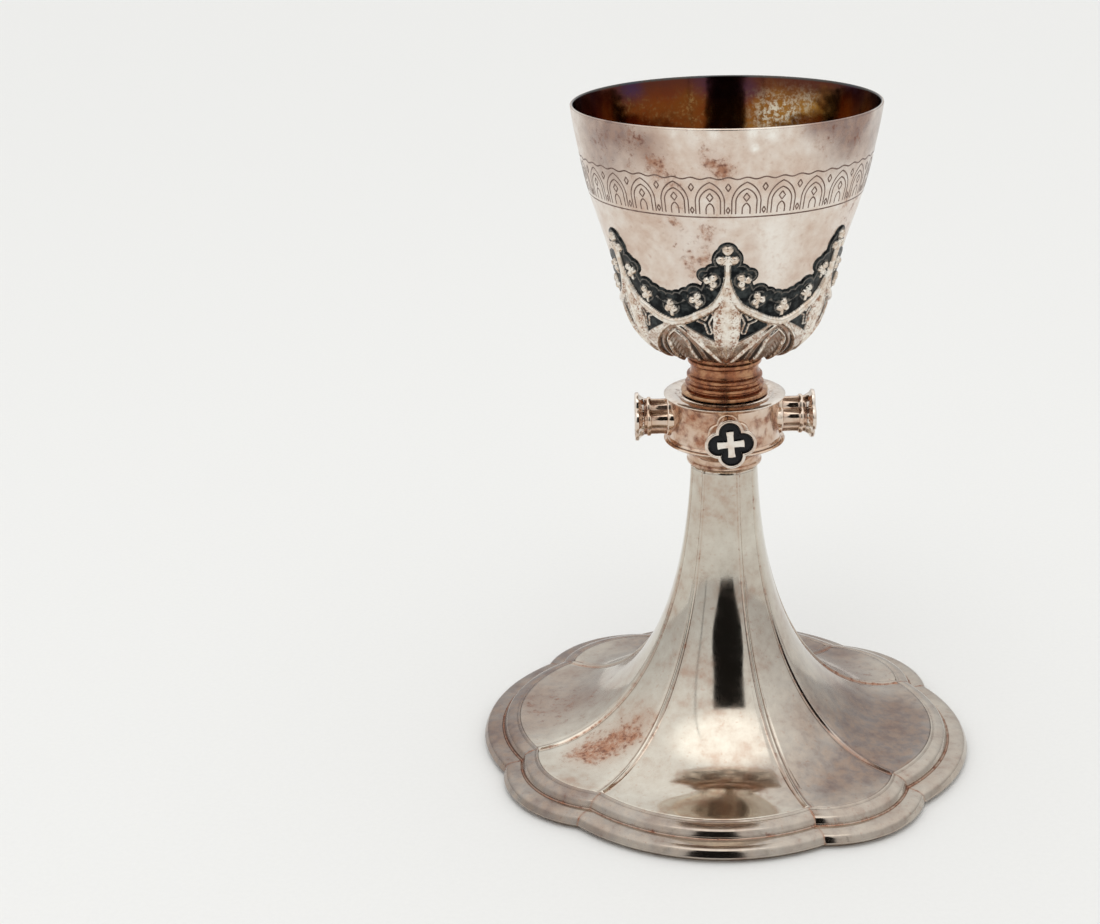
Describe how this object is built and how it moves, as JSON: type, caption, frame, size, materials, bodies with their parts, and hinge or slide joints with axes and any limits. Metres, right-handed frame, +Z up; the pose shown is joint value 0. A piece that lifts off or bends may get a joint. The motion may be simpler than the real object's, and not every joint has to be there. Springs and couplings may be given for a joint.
{
  "type": "communion chalice",
  "caption": "Silver chalice in the Gothic manner: flared bowl in an arched calyx, drum knop with quatrefoil cross bosses, and a panelled, lobed foot.",
  "frame": {"origin": "centre of the foot, on the surface that the chalice stands on", "axes": "+Z up along the chalice's axis, -Y towards the front wide lobe of the foot, +X to the right seen from the front"},
  "size_m": [0.1548, 0.1548, 0.2055],
  "materials": {
    "bowl_silver": "tarnished polished silver outside, gilt inside",
    "chased_silver": "chased silver relief on a dark ground",
    "tarnished_silver": "polished silver with coppery tarnish",
    "foot_silver": "polished silver with light tarnish at the ridges",
    "bright_silver": "bright polished silver",
    "enamel": "glossy black enamel",
    "steel": "dull machined steel"
  },
  "bodies": {
    "root": {"bowl": "bowl_silver", "calyx": "chased_silver", "bowl_socket": "steel", "neck_collar": "tarnished_silver", "knop_top_plate": "tarnished_silver", "knop_drum": "tarnished_silver", "knop_bottom_plate": "tarnished_silver", "knop_sleeve": "steel", "lower_collar": "tarnished_silver", "foot": "foot_silver", "foot_rim": "foot_silver", "base_flange": "foot_silver", "stem_plate": "steel", "tie_rod": "steel", "washer": "steel", "tie_nut": "steel", "boss_tube_front": "tarnished_silver", "boss_bezel_front": "bright_silver", "boss_enamel_front": "enamel", "boss_cross_front": "bright_silver", "boss_tube_right": "tarnished_silver", "boss_bezel_right": "bright_silver", "boss_enamel_right": "enamel", "boss_cross_right": "bright_silver", "boss_tube_back": "tarnished_silver", "boss_bezel_back": "bright_silver", "boss_enamel_back": "enamel", "boss_cross_back": "bright_silver", "boss_tube_left": "tarnished_silver", "boss_bezel_left": "bright_silver", "boss_enamel_left": "enamel", "boss_cross_left": "bright_silver"}
  },
  "joints": []
}
